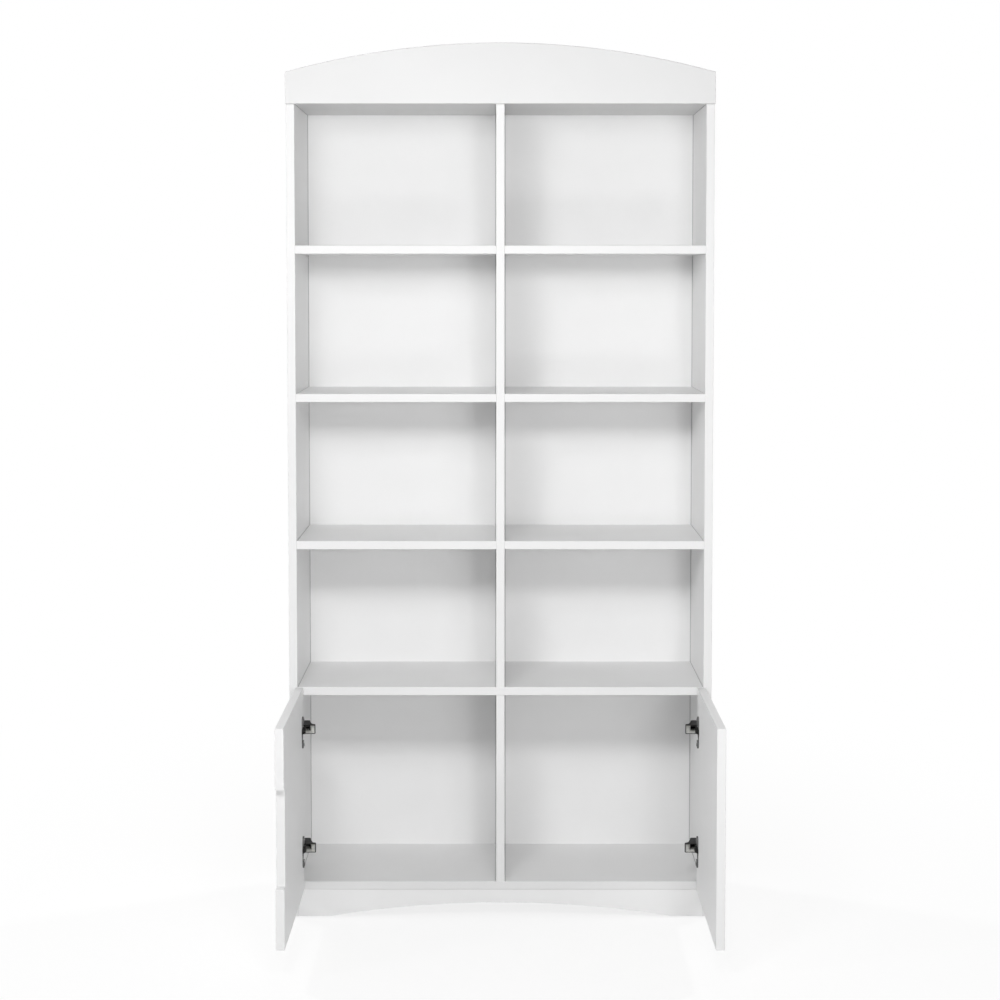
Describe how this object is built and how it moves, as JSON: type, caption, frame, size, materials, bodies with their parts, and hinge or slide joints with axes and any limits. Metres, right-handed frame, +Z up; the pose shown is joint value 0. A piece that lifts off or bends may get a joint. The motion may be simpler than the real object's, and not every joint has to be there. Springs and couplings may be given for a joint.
{
  "type": "bookcase with cabinet doors",
  "caption": "Tall white bookcase with an arched crown, a central divider, open shelves and a lower cabinet with a pair of hinged doors.",
  "frame": {"origin": "on the floor, in the middle of the ground covered by the bookcase with both doors open at a right angle", "axes": "+Z up, front towards -Y, +X to the right as seen from the front"},
  "size_m": [0.82, 0.7136, 1.694],
  "materials": {
    "white_laminate": "satin white melamine on particle board, edges banded to match",
    "door_laminate": "satin white melamine on particle board, banded all round",
    "hardboard_back": "hardboard sheet, white lacquer on the front, raw brown behind",
    "dowel_beech": "plain beech",
    "cam_zinc": "die-cast zinc",
    "nail_steel": "bright wire",
    "hinge_nickel": "nickel-plated steel",
    "hinge_dark_nickel": "dark nickel-plated pressed steel",
    "angle_steel": "zinc-plated steel",
    "glide_plastic": "moulded plastic"
  },
  "bodies": {
    "carcass": {"back_nails": "nail_steel", "back_panel_left": "hardboard_back", "back_panel_right": "hardboard_back", "bottom_panel": "white_laminate", "cabinet_top": "white_laminate", "cam_bolts": "cam_zinc", "cam_housings": "cam_zinc", "crown_board": "white_laminate", "floor_glides": "glide_plastic", "hinge_arm_pins": "hinge_nickel", "hinge_clamp_screws": "hinge_nickel", "hinge_plate_screws": "hinge_nickel", "left_side_panel": "white_laminate", "lower_divider": "white_laminate", "lower_left_hinge_arm": "hinge_dark_nickel", "lower_left_hinge_plate": "hinge_nickel", "lower_right_hinge_arm": "hinge_dark_nickel", "lower_right_hinge_plate": "hinge_nickel", "lower_shelf_left": "white_laminate", "lower_shelf_right": "white_laminate", "middle_shelf_left": "white_laminate", "middle_shelf_right": "white_laminate", "plinth_board": "white_laminate", "right_side_panel": "white_laminate", "top_panel": "white_laminate", "upper_divider": "white_laminate", "upper_left_hinge_arm": "hinge_dark_nickel", "upper_left_hinge_plate": "hinge_nickel", "upper_right_hinge_arm": "hinge_dark_nickel", "upper_right_hinge_plate": "hinge_nickel", "upper_shelf_left": "white_laminate", "upper_shelf_right": "white_laminate", "wall_angle_screws": "angle_steel", "wall_angles": "angle_steel", "wooden_dowels": "dowel_beech"},
    "left_links": {"lower_left_hinge_link": "hinge_nickel", "upper_left_hinge_link": "hinge_nickel"},
    "left_leaf": {"left_door": "door_laminate", "lower_left_hinge_cup": "hinge_nickel", "upper_left_hinge_cup": "hinge_nickel", "left_cup_pins": "hinge_nickel", "left_cup_screws": "hinge_nickel"},
    "right_links": {"lower_right_hinge_link": "hinge_nickel", "upper_right_hinge_link": "hinge_nickel"},
    "right_leaf": {"right_door": "door_laminate", "lower_right_hinge_cup": "hinge_nickel", "upper_right_hinge_cup": "hinge_nickel", "right_cup_pins": "hinge_nickel", "right_cup_screws": "hinge_nickel"}
  },
  "joints": [
    {"name": "left_hinge_swing", "type": "hinge", "parent": "carcass", "child": "left_links", "pos_m": [-0.38086, 0.05686, 0.255], "axis": [0, 0, 1], "range_deg": [-57, 3.17]},
    {"name": "left_door_turn", "type": "hinge", "parent": "left_links", "child": "left_leaf", "pos_m": [-0.3843, 0.03925, 0.255], "axis": [0, 0, -1], "range_deg": [-147.01, 8.17]},
    {"name": "right_hinge_swing", "type": "hinge", "parent": "carcass", "child": "right_links", "pos_m": [0.38086, 0.05686, 0.255], "axis": [0, 0, -1], "range_deg": [-57, 3.17]},
    {"name": "right_door_turn", "type": "hinge", "parent": "right_links", "child": "right_leaf", "pos_m": [0.3843, 0.03925, 0.255], "axis": [0, 0, 1], "range_deg": [-147.01, 8.17]}
  ],
  "couplings": [
    {"joint": "left_door_turn", "follows": "left_hinge_swing", "ratio": 2.5789},
    {"joint": "right_door_turn", "follows": "right_hinge_swing", "ratio": 2.5789}
  ]
}
